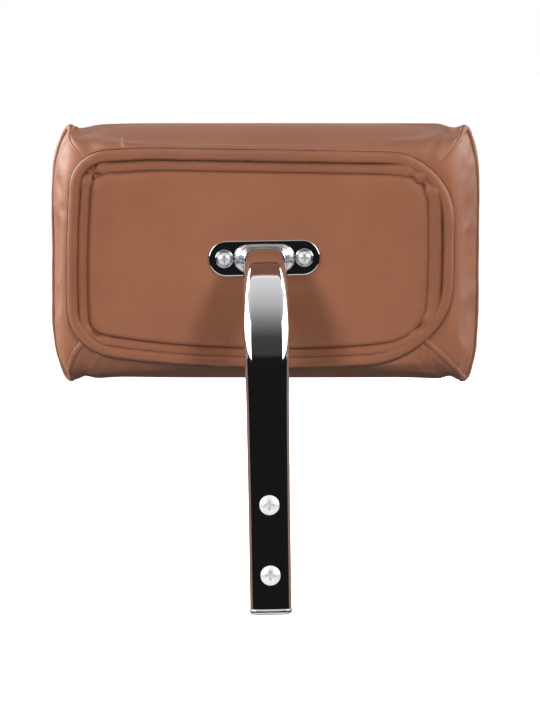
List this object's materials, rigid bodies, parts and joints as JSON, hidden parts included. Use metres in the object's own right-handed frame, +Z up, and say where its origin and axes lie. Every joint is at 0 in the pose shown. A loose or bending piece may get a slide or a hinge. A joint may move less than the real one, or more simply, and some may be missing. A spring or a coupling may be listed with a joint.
{
  "type": "office chair headrest",
  "caption": "Padded leather headrest pillow on a bent chromed tube that screws to the rear of a chair's back.",
  "frame": {"origin": "midway between the two back screws, on the tube face that rests on the rear of the chair's back", "axes": "+Z up along the tube, +Y forward to the sitter and out of the resting face, +X to the right seen from behind"},
  "size_m": [0.32, 0.1945, 0.345],
  "materials": {
    "leather": "tan upholstery leather, semi-matt with a fine grain",
    "chrome": "polished chrome plate",
    "chrome_cap": "chromed plastic end cap",
    "bright_screws": "bright nickel plate",
    "zinc_steel": "zinc plate",
    "dark_steel": "dark spring steel",
    "plywood": "raw plywood",
    "hardboard": "raw hardboard",
    "foam": "open-cell polyurethane foam",
    "wadding": "white polyester wadding",
    "clip_plastic": "moulded nylon",
    "cord_plastic": "extruded piping cord"
  },
  "bodies": {
    "root": {"support_tube": "chrome", "tube_end_plug": "chrome_cap", "mounting_plate": "chrome", "weld_bead": "chrome", "crush_sleeve_upper": "zinc_steel", "crush_sleeve_lower": "zinc_steel", "back_screw_upper": "bright_screws", "back_screw_lower": "bright_screws", "flat_washer_left": "zinc_steel", "flat_washer_right": "zinc_steel", "lock_washer_left": "dark_steel", "lock_washer_right": "dark_steel", "plate_bolt_left": "bright_screws", "plate_bolt_right": "bright_screws", "tee_nut_left": "zinc_steel", "tee_nut_right": "zinc_steel", "main_board": "plywood", "foam_core": "foam", "wadding_layer": "wadding", "cover_wrap": "leather", "cover_gusset_left": "leather", "cover_gusset_right": "leather", "panel_cover": "leather", "panel_padding": "foam", "panel_board": "hardboard", "panel_clip_1": "clip_plastic", "panel_clip_2": "clip_plastic", "panel_clip_3": "clip_plastic", "panel_clip_4": "clip_plastic", "panel_welt": "leather", "panel_welt_cord": "cord_plastic", "rear_rim": "leather", "rear_rim_cord": "foam", "staples": "zinc_steel"}
  },
  "joints": []
}
